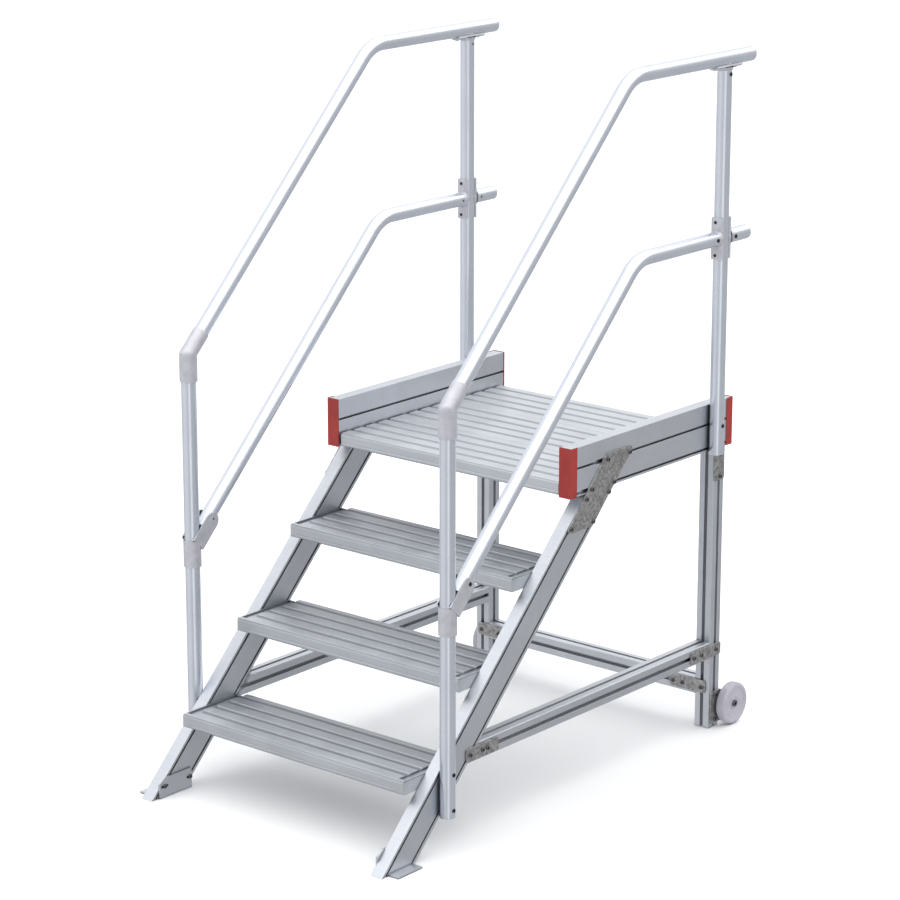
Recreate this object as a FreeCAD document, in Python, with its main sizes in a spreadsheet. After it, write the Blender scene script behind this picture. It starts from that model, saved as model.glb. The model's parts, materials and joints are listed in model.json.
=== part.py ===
import FreeCAD, Part
import math
import os
import Sketcher

Vec = FreeCAD.Vector
X_AXIS = Vec(1, 0, 0)
Y_AXIS = Vec(0, 1, 0)
Z_AXIS = Vec(0, 0, 1)

# Driving sizes, in millimetres. Depths (y) run from the front face of the platform's end caps
# towards the back, heights (z) from the floor, and widths (x) from the middle plane.
SIZES = {
    # whole ladder
    "half_width": 394, "deck_height": 798, "platform_depth": 678, "rise": 200, "going": 200,
    # platform side beams and their end caps
    "beam_thick": 34, "beam_height": 124, "beam_wall": 3, "low_slot": 8, "high_slot": 71,
    "chamber_gap": 12, "cap_length": 26, "cap_face": 3, "cap_proud": 1, "cap_plug": 12,
    "cap_fit": 0.3,
    # T slots of the beams and stringers
    "slot_mouth": 6, "slot_lip": 3, "slot_width": 13, "slot_depth": 8, "slot_floor": 13,
    "entry_length": 28, "entry_height": 11, "entry_lap": 4,
    # stringers
    "stringer_top_y": 62, "stringer_depth": 82, "stringer_slot": 9,
    # square T-slot profile of the legs and braces
    "leg_size": 45, "leg_mouth": 10, "leg_lip": 3, "leg_width": 20, "leg_depth": 13,
    "leg_floor": 10, "leg_bore": 5, "leg_round": 3, "leg_inset": 30.5,
    "side_brace_z": 216, "cross_brace_z": 111,
    # ribbed plank of the treads and the platform
    "plank_height": 35, "plank_skin": 6.5, "plank_wall": 3, "nose_depth": 30, "nose_round": 6,
    "groove_first": 43.5, "groove_pitch": 47.4, "groove_top": 17, "groove_floor": 9,
    "groove_depth": 3, "nose_line": 2.4, "nose_line_z": 23, "nose_line_deep": 1.4,
    "tread_depth": 207, "tread_end_depth": 190, "tread_overhang": 82, "tread_end": 23,
    "tread_end_wall": 4, "tread_end_sink": 5, "tread_end_lip": 12,
    "deck_front": 5, "deck_pitch": 218, "deck_sink": 1, "deck_seam": 1.2, "deck_end_gap": 6,
    "ledge_leg": 26, "ledge_thick": 3,
    # feet under the stringers
    "foot_thick": 5, "foot_height": 52, "foot_front": 24, "foot_length": 113, "foot_reach": 64,
    "foot_flange_depth": 86, "foot_bolt_z": 29.6, "foot_slot": 24, "foot_gap": 0.5,
    # flat joint plates
    "plate_thick": 4, "plate_round": 7, "gusset_ahead": 8, "gusset_behind": 4,
    "gusset_top_width": 114, "gusset_low_width": 106, "gusset_top": 86, "gusset_bottom": 86,
    "brace_plate_length": 120, "brace_plate_height": 34,
    "front_plate_lap": 14, "rear_plate_length": 130, "rear_plate_lap": 41,
    "cross_plate_length": 114, "cross_plate_height": 35, "cross_plate_lap": 32,
    "cross_plate_rise": 2.5, "strap_width": 44, "strap_height": 100, "strap_bottom": 676,
    "strap_shift": 4, "gusset_row_low": 11, "gusset_row_base": 13, "plate_end": 12,
    "front_plate_screw": 60, "front_plate_end": 42, "rear_plate_screw": 45,
    "rear_plate_past": 20, "strap_screw_low": 10, "strap_screw_mid": 68,
    # handrail
    "tube_radius": 19, "tube_wall": 2, "front_tube_bottom": 94,
    "front_bolt_high": 203, "post_inset": 95, "post_below": 5, "top_rail_above": 972,
    "mid_rail_above": 521, "top_bend_y": 197, "mid_bend_y": 229, "bend_radius": 105,
    "top_rail_past": 13, "mid_rail_past": 7, "end_cap": 7, "plug_length": 18,
    "sleeve_wall": 3.2, "sleeve_fit": 0.15, "elbow_low": 68, "elbow_high": 66, "elbow_step": 1.2,
    "clamp_height": 68, "clamp_below": 58, "cheek_length": 93, "cheek_wall": 4,
    "saddle_length": 106, "saddle_wall": 6, "saddle_wrap": 92, "collar_length": 4,
    "spigot_length": 26, "spigot_fit": 0.3, "elbow_gap": 12, "rail_start": 48,
    "socket_screw": 9, "wing_screw": 11, "cheek_screw": 78,
    # wheels
    "wheel_radius": 55.5, "wheel_width": 26, "wheel_past": 0.4, "wheel_lift": 1.7,
    "wheel_gap": 3, "wheel_hub": 15, "wheel_rim": 46, "wheel_dish": 4, "axle_radius": 5,
    "axle_fit": 0.05, "axle_head": 9, "axle_head_tall": 4, "axle_socket": 4.6,
    "axle_rivet": 8, "axle_rivet_tall": 3, "hub_boss": 10, "hub_clearance": 0.4,
    "bracket_height": 88, "bracket_bottom": 12, "bracket_back": 12, "bracket_front": 18,
    "bracket_low_edge": 60, "bracket_top_width": 42, "bracket_round": 5, "bracket_screw": 10,
    # fasteners
    "screw_radius": 2.8, "screw_hole": 3.2, "screw_head": 5.8, "screw_head_tall": 3.4,
    "screw_socket": 3.3, "socket_deep": 2.2, "screw_reach": 10.5, "nut_wide": 9, "nut_thick": 4,
    "rail_screw_head": 5.2, "wing_screw_head": 4, "rail_screw_proud": 1.6, "rail_screw_reach": 8,
}


def derived(size):
    """Sizes that follow from the driving ones, added to the same table."""
    out = {}
    out["beam_base"] = size["deck_height"] - size["plank_height"] - size["deck_sink"]
    out["inner_half"] = size["half_width"] - size["beam_thick"]
    out["slope"] = math.degrees(math.atan2(size["rise"], size["going"]))
    run = size["going"] / size["rise"]
    out["toe_y"] = size["stringer_top_y"] - out["beam_base"] * run
    out["wheel_y"] = size["platform_depth"] + size["wheel_past"]
    out["top_rail_end"] = size["platform_depth"] + size["top_rail_past"]
    out["mid_rail_end"] = size["platform_depth"] + size["mid_rail_past"]
    out["front_y"] = -(out["toe_y"] + out["wheel_y"] + size["wheel_radius"]) / 2
    out["stringer_across"] = size["stringer_depth"] / math.sin(math.radians(out["slope"]))
    out["leg_y"] = size["platform_depth"] - size["leg_inset"] - size["leg_size"] / 2
    out["tube_x"] = size["half_width"] + size["tube_radius"]
    out["bore_radius"] = size["tube_radius"] - size["tube_wall"]
    out["post_y"] = size["platform_depth"] - size["post_inset"]
    front = size["stringer_top_y"] - (out["beam_base"] - size["front_bolt_high"]) * run
    widen = out["stringer_across"] / size["stringer_depth"]
    out["tube_y"] = front + size["stringer_slot"] * widen
    slots_apart = (size["stringer_depth"] - 2 * size["stringer_slot"] - 1) * widen
    out["front_bolt_low"] = size["front_bolt_high"] - slots_apart / run
    out["top_rail_z"] = size["deck_height"] + size["top_rail_above"]
    out["mid_rail_z"] = size["deck_height"] + size["mid_rail_above"]
    out["elbow_z"] = out["top_rail_z"] - (size["top_bend_y"] - out["tube_y"]) / run
    out["clamp_z"] = out["mid_rail_z"] - (size["mid_bend_y"] - out["tube_y"]) / run
    out["tread_span"] = 2 * (out["inner_half"] - size["tread_end"])
    out["deck_span"] = 2 * (out["inner_half"] - size["deck_end_gap"])
    out["sleeve_bore"] = size["tube_radius"] + size["sleeve_fit"]
    out["sleeve_radius"] = out["sleeve_bore"] + size["sleeve_wall"]
    out["wheel_z"] = size["wheel_radius"] + size["wheel_lift"]
    out["wheel_x"] = size["half_width"] + size["plate_thick"] + size["wheel_gap"]
    lean = math.radians(out["slope"])
    out["stringer_tip"] = out["beam_base"] / 2 / math.sin(lean)
    out["stringer_fall"] = size["stringer_depth"] / math.tan(lean)
    behind_toe = size["foot_front"] - size["foot_gap"]
    out["notch_y"] = behind_toe * math.sin(lean)
    out["notch_z"] = behind_toe * math.cos(lean)
    out["notch_top_y"] = out["notch_y"] - size["foot_thick"] * math.cos(lean)
    out["notch_top_z"] = out["notch_z"] + size["foot_thick"] * math.sin(lean)
    across = size["stringer_depth"] - out["notch_top_y"]
    out["notch_rear_z"] = out["notch_top_z"] + across / math.tan(lean)
    out["leg_front"] = out["leg_y"] - size["leg_size"] / 2
    low = size["side_brace_z"] - size["leg_size"] / 2
    behind = size["stringer_top_y"] - (out["beam_base"] - low) * run + out["stringer_across"]
    out["brace_length"] = out["leg_front"] - behind
    out["brace_fall"] = size["leg_size"] * run
    out["cross_length"] = 2 * (size["half_width"] - size["leg_size"])
    tangent = size["bend_radius"] * math.tan(lean / 2)
    out["socket_start"] = (size["tube_radius"] + size["sleeve_fit"] + size["saddle_wall"]
                           + size["collar_length"])
    out["knee_end"] = out["post_y"] - out["socket_start"]
    for name in ("top", "mid"):
        end = out["top_rail_end"] if name == "top" else out["knee_end"]
        out[name + "_run"] = end - size[name + "_bend_y"] - tangent
        across = (size[name + "_bend_y"] - out["tube_y"]) / math.cos(lean)
        start = size["rail_start"] if name == "mid" else size["elbow_gap"]
        out[name + "_climb"] = across - tangent - start
    out["bend_x"] = size["bend_radius"] * math.sin(lean)
    out["bend_z"] = size["bend_radius"] * (1 - math.cos(lean))
    for name in ("top", "mid"):
        out[name + "_foot_x"] = out["bend_x"] + out[name + "_climb"] * math.cos(lean)
        out[name + "_foot_z"] = out["bend_z"] + out[name + "_climb"] * math.sin(lean)
    return out


VALUES = dict(SIZES)
VALUES.update(derived(SIZES))
doc = FreeCAD.newDocument("RollingLadder")
sheet = doc.addObject("Spreadsheet::Sheet", "Dims")
for row, (alias, number) in enumerate(VALUES.items(), start=1):
    sheet.set("A%d" % row, alias)
    sheet.set("B%d" % row, repr(round(float(number), 6)))
    sheet.setAlias("B%d" % row, alias)
doc.recompute()
PARTS = []
SIDES = (("left", -1), ("right", 1))
TREADS = 3
GROOVES = 4


def size(alias):
    """The number that the sheet holds under this alias."""
    return float(sheet.get(alias))


def depth_at(height):
    """Depth of the stringers' front face at a height above the floor."""
    return size("stringer_top_y") - (size("beam_base") - height) * size("going") / size("rise")


def at(x, y, z, rotation=None):
    """Placement from ladder depths: y counts from the front caps."""
    return FreeCAD.Placement(Vec(x, y + size("front_y"), z), rotation or FreeCAD.Rotation())


# ---------------------------------------------------------------- sketch and feature helpers
def new_body(label):
    body = doc.addObject("PartDesign::Body", label)
    body.Label = label
    PARTS.append(body)
    return body


def new_sketch(body, role, name="Sketch"):
    sketch = body.newObject("Sketcher::SketchObject", name)
    plane = [item for item in body.Origin.OriginFeatures if item.Role == role][0]
    sketch.AttachmentSupport = [(plane, "")]
    sketch.MapMode = "FlatFace"
    return sketch


def bind_point(sketch, edge, end, x, y):
    """Hold one end of an edge at sheet expressions x and y."""
    for kind, expression in (("DistanceX", x), ("DistanceY", y)):
        index = sketch.addConstraint(Sketcher.Constraint(kind, -1, 1, edge, end, 1.0))
        sketch.setExpression("Constraints[%d]" % index, str(expression))


def add_outline(sketch, corners):
    """Closed outline whose corners are pairs of sheet expressions."""
    count = len(corners)
    first = sketch.GeometryCount
    turn = 2 * math.pi / count
    ring = [Vec(math.cos(turn * i - 2.4), math.sin(turn * i - 2.4), 0) for i in range(count)]
    for i in range(count):
        sketch.addGeometry(Part.LineSegment(ring[i], ring[(i + 1) % count]), False)
    for i in range(count):
        after = first + (i + 1) % count
        sketch.addConstraint(Sketcher.Constraint("Coincident", first + i, 2, after, 1))
    for i, (x, y) in enumerate(corners):
        bind_point(sketch, first + i, 1, x, y)


def add_circle(sketch, x, y, radius):
    edge = sketch.addGeometry(Part.Circle(Vec(0.5, 0.5, 0), Z_AXIS, 2), False)
    bind_point(sketch, edge, 3, x, y)
    index = sketch.addConstraint(Sketcher.Constraint("Radius", edge, 2.0))
    sketch.setExpression("Constraints[%d]" % index, radius)


def pad(body, sketch, length, middle=False, back=False):
    feature = body.newObject("PartDesign::Pad", "Pad")
    feature.Profile = sketch
    feature.setExpression("Length", length)
    feature.Midplane = middle
    feature.Reversed = back
    sketch.Visibility = False
    doc.recompute()
    return feature


def through(body, sketch, length):
    """Cut the sketch right through, to both sides of its plane."""
    before = body.Shape.Volume
    feature = body.newObject("PartDesign::Pocket", "Cut")
    feature.Profile = sketch
    feature.setExpression("Length", length)
    feature.Midplane = True
    doc.recompute()
    if feature.Shape.Volume > before - 1e-6:
        raise ValueError("cut in %s removes nothing" % body.Label)
    return feature


def round_edges(body, radius, wanted):
    """Fillet the edges of the body's tip that the test picks."""
    base = body.Tip
    names = ["Edge%d" % (i + 1) for i, edge in enumerate(base.Shape.Edges) if wanted(edge)]
    feature = body.newObject("PartDesign::Fillet", "Fillet")
    feature.Base = (base, names)
    feature.setExpression("Radius", radius)
    doc.recompute()
    return feature


def box_corners(x0, x1, y0, y1):
    return [(x0, y0), (x1, y0), (x1, y1), (x0, y1)]


def along(edge, axis):
    """True for a straight edge parallel to the axis."""
    if edge.Curve.TypeId != "Part::GeomLine":
        return False
    return abs(abs(edge.tangentAt(edge.FirstParameter).dot(axis)) - 1) < 1e-6


def feature(label, shape):
    """Named node with a shape that was made directly."""
    item = doc.addObject("Part::Feature", label)
    item.Label = label
    item.Shape = shape
    PARTS.append(item)


def group(label, pieces):
    """One named node that holds several separate solids."""
    feature(label, Part.makeCompound(pieces))


# ---------------------------------------------------------------- extruded profiles
def slot_corners(face, inward, centre, kind):
    """T slot in a face: corners in rising order as (across, along) pairs."""
    mouth = "Dims.%s_mouth / 2" % kind
    width = "Dims.%s_width / 2" % kind
    narrow = "Dims.%s_floor / 2" % kind
    lip = "%s %s Dims.%s_lip" % (face, inward, kind)
    floor = "%s %s Dims.%s_depth" % (face, inward, kind)
    low = [(face, mouth), (lip, mouth), (lip, width), (floor, narrow)]
    rising = [(across, "%s - %s" % (centre, half)) for across, half in low]
    falling = [(across, "%s + %s" % (centre, half)) for across, half in reversed(low)]
    return rising + falling


def two_face_profile(sketch, height, outer_slots, inner_slots):
    """Beam profile: thickness along x, slots on its outer (+x) and inner faces."""
    outer = "Dims.beam_thick / 2"
    inner = "-Dims.beam_thick / 2"
    corners = [(inner, "0"), (outer, "0")]
    for centre in outer_slots:
        corners += slot_corners(outer, "-", centre, "slot")
    corners += [(outer, height), (inner, height)]
    for centre in reversed(inner_slots):
        corners += reversed(slot_corners(inner, "+", centre, "slot"))
    add_outline(sketch, corners)


def chamber(sketch, low, high):
    """Hollow chamber of a beam profile between two heights."""
    half = "(Dims.beam_thick / 2 - Dims.beam_wall)"
    add_outline(sketch, box_corners("-" + half, half, low, high))


def beam(label, side):
    body = new_body(label)
    sketch = new_sketch(body, "XZ_Plane")
    slots = ["Dims.low_slot", "Dims.high_slot"]
    two_face_profile(sketch, "Dims.beam_height", slots, slots[1:])
    chamber(sketch, "Dims.low_slot + Dims.chamber_gap", "Dims.high_slot - Dims.chamber_gap")
    chamber(sketch, "Dims.high_slot + Dims.chamber_gap", "Dims.beam_height - Dims.beam_wall")
    pad(body, sketch, "Dims.platform_depth - 2 * Dims.cap_face", middle=True)
    slot_entries(body, side)
    turn = FreeCAD.Rotation(Z_AXIS, 0 if side > 0 else 180)
    x = side * (size("half_width") - size("beam_thick") / 2)
    body.Placement = at(x, size("platform_depth") / 2, size("beam_base"), turn)


def slot_entries(body, side):
    """Openings in the outer slots, in front of the gusset, where the slot nuts go in."""
    sketch = new_sketch(body, "YZ_Plane", "Entries")
    sketch.setExpression("AttachmentOffset.Base.z", "Dims.beam_thick / 2 - Dims.slot_depth")
    half = "Dims.entry_height / 2"
    for slot in ("low_slot", "high_slot"):
        edge = gusset_edge(size("beam_base") + size(slot))
        last = side * (edge + size("entry_lap") - size("platform_depth") / 2)
        start, stop = "%.4f" % last, "%.4f - %d * Dims.entry_length" % (last, side)
        add_outline(sketch, box_corners(start, stop, "Dims.%s - %s" % (slot, half),
                                        "Dims.%s + %s" % (slot, half)))
    cut = body.newObject("PartDesign::Pocket", "Entries")
    cut.Profile = sketch
    cut.setExpression("Length", "2 * Dims.slot_depth")
    cut.Reversed = True
    doc.recompute()


def gusset_edge(height):
    """Depth of the gusset's front edge at a height: a little steeper than the stringer."""
    low = size("beam_base") - size("gusset_bottom")
    share = (height - low) / (size("gusset_bottom") + size("gusset_top"))
    lead = size("gusset_behind") - share * (size("gusset_behind") + size("gusset_ahead"))
    return depth_at(height) + lead


def stringer(label, side):
    """Inclined side member, cut level under the beam, its toe on the floor before the foot."""
    body = new_body(label)
    sketch = new_sketch(body, "XY_Plane")
    slots = ["Dims.stringer_slot", "(Dims.stringer_depth - Dims.stringer_slot - 1)"]
    two_face_profile(sketch, "Dims.stringer_depth", slots, slots)
    chamber(sketch, slots[0] + " + Dims.chamber_gap", slots[1] + " - Dims.chamber_gap")
    pad(body, sketch, "2 * Dims.stringer_tip + 4 * Dims.stringer_fall", middle=True)
    tip, far = "Dims.stringer_tip", "(Dims.stringer_tip + 3 * Dims.stringer_fall)"
    near, fall = "Dims.stringer_depth", "Dims.stringer_fall"
    trim = new_sketch(body, "YZ_Plane", "Trim")
    add_outline(trim, [("0", tip), (near, tip + " + " + fall), (near, far), ("0", far)])
    add_outline(trim, [("0", "-" + far), (near, "-" + far), (near, "Dims.notch_rear_z - " + tip),
                       ("Dims.notch_top_y", "Dims.notch_top_z - " + tip),
                       ("Dims.notch_y", "Dims.notch_z - " + tip), ("0", "-" + tip)])
    through(body, trim, "2 * Dims.beam_thick")
    tilt = FreeCAD.Rotation(X_AXIS, size("slope") - 90)
    x = side * (size("half_width") - size("beam_thick") / 2)
    middle = size("beam_base") / 2
    body.Placement = at(x, depth_at(middle), middle, tilt)


def square_profile(sketch):
    """Square profile with a T slot in each face and a screw bore down its middle."""
    half = "Dims.leg_size / 2"
    less = "-Dims.leg_size / 2"
    rising = slot_corners(half, "-", "0", "leg")
    falling = [(x, y) for x, y in reversed(slot_corners(less, "+", "0", "leg"))]
    corners = [(less, less)]
    corners += [(x, y) for y, x in slot_corners(less, "+", "0", "leg")]
    corners += [(half, less)] + rising + [(half, half)]
    corners += [(x, y) for y, x in reversed(slot_corners(half, "-", "0", "leg"))]
    corners += [(less, half)] + falling
    add_outline(sketch, corners)
    add_circle(sketch, "0", "0", "Dims.leg_bore")


def square_bar(label, role, length, middle=False, back=False):
    """Length of square profile along the normal of one of its body's planes."""
    body = new_body(label)
    sketch = new_sketch(body, role)
    square_profile(sketch)
    pad(body, sketch, length, middle, back)
    half = size("leg_size") / 2
    normal = {"XY_Plane": Z_AXIS, "XZ_Plane": Y_AXIS, "YZ_Plane": X_AXIS}[role]

    def corner(edge):
        if not along(edge, normal):
            return False
        point = edge.Vertexes[0].Point
        spans = [abs(value) for value, way in zip(point, normal) if way == 0]
        return min(spans) > half - 0.01

    round_edges(body, "Dims.leg_round", corner)
    return body


def legs_and_braces():
    """Rear legs, the side braces from stringer to leg, and the cross brace between legs."""
    for name, side in SIDES:
        x = side * (size("half_width") - size("leg_size") / 2)
        leg = square_bar("rear_leg_" + name, "XY_Plane", "Dims.beam_base")
        leg.Placement = at(x, size("leg_y"), 0)
        brace = square_bar("side_brace_" + name, "XZ_Plane", "Dims.brace_length")
        trim = new_sketch(brace, "YZ_Plane", "Trim")
        front, half = "-Dims.brace_length", "Dims.leg_size / 2"
        add_outline(trim, [(front + " - 5", "-" + half), (front, "-" + half),
                           (front + " + Dims.brace_fall", half), (front + " - 5", half)])
        through(brace, trim, "2 * Dims.leg_size")
        brace.Placement = at(x, size("leg_front"), size("side_brace_z"))
    cross = square_bar("rear_cross_brace", "YZ_Plane", "Dims.cross_length", middle=True)
    cross.Placement = at(0, size("leg_y"), size("cross_brace_z"))


# ---------------------------------------------------------------- treads and platform
def plank_corners(depth, nose, tail):
    """Section of a ribbed plank: y from its front edge, z down from its top face."""
    drop, skin, wall = "-Dims.plank_height", "-Dims.plank_skin", "Dims.plank_wall"
    front = "Dims.nose_depth" if nose else wall
    corners = [("0", drop)]
    if nose:
        line = "-Dims.nose_line_z"
        corners += [("0", line + " - Dims.nose_line"), ("Dims.nose_line_deep", line),
                    ("0", line)]
    corners.append(("0", "0"))
    top = [("0", "Dims.groove_top / 2"), ("-Dims.groove_depth", "Dims.groove_floor / 2")]
    for i in range(GROOVES):
        centre = "Dims.groove_first + %d * Dims.groove_pitch" % i
        corners += [(centre + " - " + half, level) for level, half in top]
        corners += [(centre + " + " + half, level) for level, half in reversed(top)]
    corners += [(depth, "0"), (depth, tail), (depth + " - " + wall, tail)]
    corners += [(depth + " - " + wall, skin)]
    rib = "Dims.groove_first + 2 * Dims.groove_pitch - Dims.groove_pitch / 2"
    corners += [(rib + " + " + wall, skin), (rib + " + " + wall, drop + " / 2"),
                (rib, drop + " / 2"), (rib, skin)]
    if nose:
        corners += [(front, skin), (front, drop)]
        return corners
    return corners + [(wall, skin), (wall, drop)]


def plank(label, length, depth, nose=True, tail="-Dims.plank_height"):
    body = new_body(label)
    sketch = new_sketch(body, "YZ_Plane")
    add_outline(sketch, plank_corners(depth, nose, tail))
    if nose:
        wall = "Dims.plank_wall"
        add_outline(sketch, box_corners(wall + " + 1", "Dims.nose_depth - " + wall,
                                        "-Dims.plank_height + " + wall, "-Dims.plank_skin"))
    pad(body, sketch, length, middle=True)
    if nose:
        low = -size("plank_height")

        def nose_edge(edge):
            point = edge.Vertexes[0].Point
            level = abs(point.z) < 1e-6 or abs(point.z - low) < 1e-6
            return along(edge, X_AXIS) and abs(point.y) < 1e-6 and level

        round_edges(body, "Dims.nose_round", nose_edge)
    return body


def treads():
    """Treads at equal rises, and the end pieces that carry them on the stringers."""
    for k in range(1, TREADS + 1):
        top = size("deck_height") - (TREADS + 1 - k) * size("rise")
        body = plank("tread_%d" % k, "Dims.tread_span", "Dims.tread_depth")
        body.Placement = at(0, depth_at(top) - size("tread_overhang"), top)
    for name, side in SIDES:
        tread_ends("tread_ends_" + name, side)


def tread_ends(label, side):
    """Identical end pieces: nose profile against the stringer, sunk shelf at the plank."""
    wide, wall = size("tread_end"), size("tread_end_wall")
    deep, tall, lip = size("tread_end_depth"), size("plank_height"), size("tread_end_lip")
    sink, skin = size("tread_end_sink"), size("plank_skin")
    pieces = []
    for k in range(1, TREADS + 1):
        top = size("deck_height") - (TREADS + 1 - k) * size("rise")
        block = Part.makeBox(wide, deep, tall, Vec(0, 0, -tall))
        nose = [edge for edge in block.Edges if along(edge, X_AXIS) and
                abs(edge.Vertexes[0].Y) < 1e-6]
        block = block.makeFillet(size("nose_round"), nose)
        recess = Part.makeBox(wide - wall, deep - lip - wall, sink, Vec(0, lip, -sink))
        under = tall - sink - skin
        hollow = Part.makeBox(wide - wall, deep - lip - wall, under, Vec(0, lip, -tall))
        piece = block.cut([recess, hollow])
        for y in slot_depths(top - tall / 2):
            local = y - depth_at(top) + size("tread_overhang")
            hole = Part.makeCylinder(size("screw_hole"), wide, Vec(0, local, -tall / 2), X_AXIS)
            piece = piece.cut(hole)
        if side < 0:
            piece = piece.mirror(Vec(0, 0, 0), X_AXIS)
        piece.translate(Vec(side * (size("inner_half") - wide),
                            depth_at(top) - size("tread_overhang") + size("front_y"), top))
        pieces.append(piece)
    group(label, pieces)


def slot_depths(height):
    """Depths of the stringers' two T slots at a height, front slot first."""
    scale = size("stringer_across") / size("stringer_depth")
    offsets = (size("stringer_slot"), size("stringer_depth") - size("stringer_slot") - 1)
    return [depth_at(height) + offset * scale for offset in offsets]


def platform():
    """Three planks side by side between the beams, on a ledge along each beam."""
    depth = "(Dims.deck_pitch - Dims.deck_seam)"
    for k, name in enumerate(("front", "middle", "rear")):
        body = plank("deck_plank_" + name, "Dims.deck_span", depth, nose=(k == 0))
        y = size("deck_front") + k * size("deck_pitch")
        body.Placement = at(0, y, size("deck_height"))
    thick, leg = size("ledge_thick"), size("ledge_leg")
    length = size("leg_front") - size("cap_length") - 1
    pieces = []
    for name, side in SIDES:
        upright = Part.makeBox(thick, length, leg, Vec(0, 0, 0))
        shelf = Part.makeBox(leg, length, thick, Vec(0, 0, -thick))
        angle = upright.fuse(shelf).removeSplitter()
        if side > 0:
            angle = angle.mirror(Vec(0, 0, 0), X_AXIS)
        base = size("deck_height") - size("plank_height")
        angle.translate(Vec(side * size("inner_half"), size("cap_length") + size("front_y"),
                            base))
        pieces.append(angle)
    group("deck_ledges", pieces)


def beam_end_caps():
    """Moulded caps on the four beam ends: end plate, skirt on the outer face and plugs."""
    proud, face, plug = size("cap_proud"), size("cap_face"), size("cap_plug")
    half, tall, fit = size("beam_thick") / 2, size("beam_height"), size("cap_fit")
    inset = size("beam_wall") + fit
    gap = size("chamber_gap")
    spans = ((size("low_slot") + gap + fit, size("high_slot") - gap - fit),
             (size("high_slot") + gap + fit, tall - inset))
    high = tall + 2 * proud
    plate = Part.makeBox(2 * half + 2 * proud, face, high, Vec(-half - proud, 0, -proud))
    skirt = Part.makeBox(proud, size("cap_length"), high, Vec(half, 0, -proud))
    plugs = [Part.makeBox(2 * (half - inset), plug, top - low, Vec(inset - half, face, low))
             for low, top in spans]
    cap = plate.fuse([skirt] + plugs).removeSplitter()
    pieces = []
    for name, side in SIDES:
        for end in (1, -1):
            piece = cap if side > 0 else cap.mirror(Vec(0, 0, 0), X_AXIS)
            y = 0
            if end < 0:
                piece = piece.mirror(Vec(0, 0, 0), Y_AXIS)
                y = size("platform_depth")
            x = side * (size("half_width") - half)
            piece = piece.translated(Vec(x, y + size("front_y"), size("beam_base")))
            pieces.append(piece)
    group("beam_end_caps", pieces)


# ---------------------------------------------------------------- feet and joint plates
def foot(label, side):
    """Angle foot: an upright on the stringer's inner face and a flange under its end."""
    body = new_body(label)
    sketch = new_sketch(body, "YZ_Plane")
    tall, long = "Dims.foot_height", "Dims.foot_length"
    corner = "(Dims.foot_height / 4)"
    add_outline(sketch, [("0", "0"), (long, "0"), (long, tall), (corner + " * 1.5", tall),
                         ("0", tall + " - " + corner)])
    pad(body, sketch, "Dims.foot_thick", back=(side > 0))
    floor = new_sketch(body, "XY_Plane", "Flange")
    sign = "" if side > 0 else "-"
    add_outline(floor, box_corners("0", sign + "Dims.foot_reach", "0",
                                   "Dims.foot_flange_depth"))
    pad(body, floor, "Dims.foot_thick")
    start = size("toe_y") + size("foot_front")
    slots = new_sketch(body, "YZ_Plane", "Slots")
    for index, y in enumerate(slot_depths(size("foot_bolt_z"))):
        add_outline(slots, box_corners("%.4f - Dims.foot_slot / 2" % (y - start),
                                       "%.4f + Dims.foot_slot / 2" % (y - start),
                                       "Dims.foot_bolt_z - Dims.screw_hole",
                                       "Dims.foot_bolt_z + Dims.screw_hole"))
    through(body, slots, "3 * Dims.foot_thick")
    body.Placement = at(side * size("inner_half"), start, 0)


def flat_plate(corners, round_corners, normal, holes):
    """Flat plate: outline, thickness along the normal, rounded corners and screw holes."""
    face = Part.Face(Part.makePolygon(corners + corners[:1]))
    plate = face.extrude(normal * size("plate_thick"))
    edges = [edge for edge in plate.Edges if along(edge, normal)]
    plate = plate.makeFillet(round_corners, edges)
    for point in holes:
        start = point - normal * size("plate_thick")
        plate = plate.cut(Part.makeCylinder(size("screw_hole"), 3 * size("plate_thick"),
                                            start, normal))
    return plate


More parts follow.
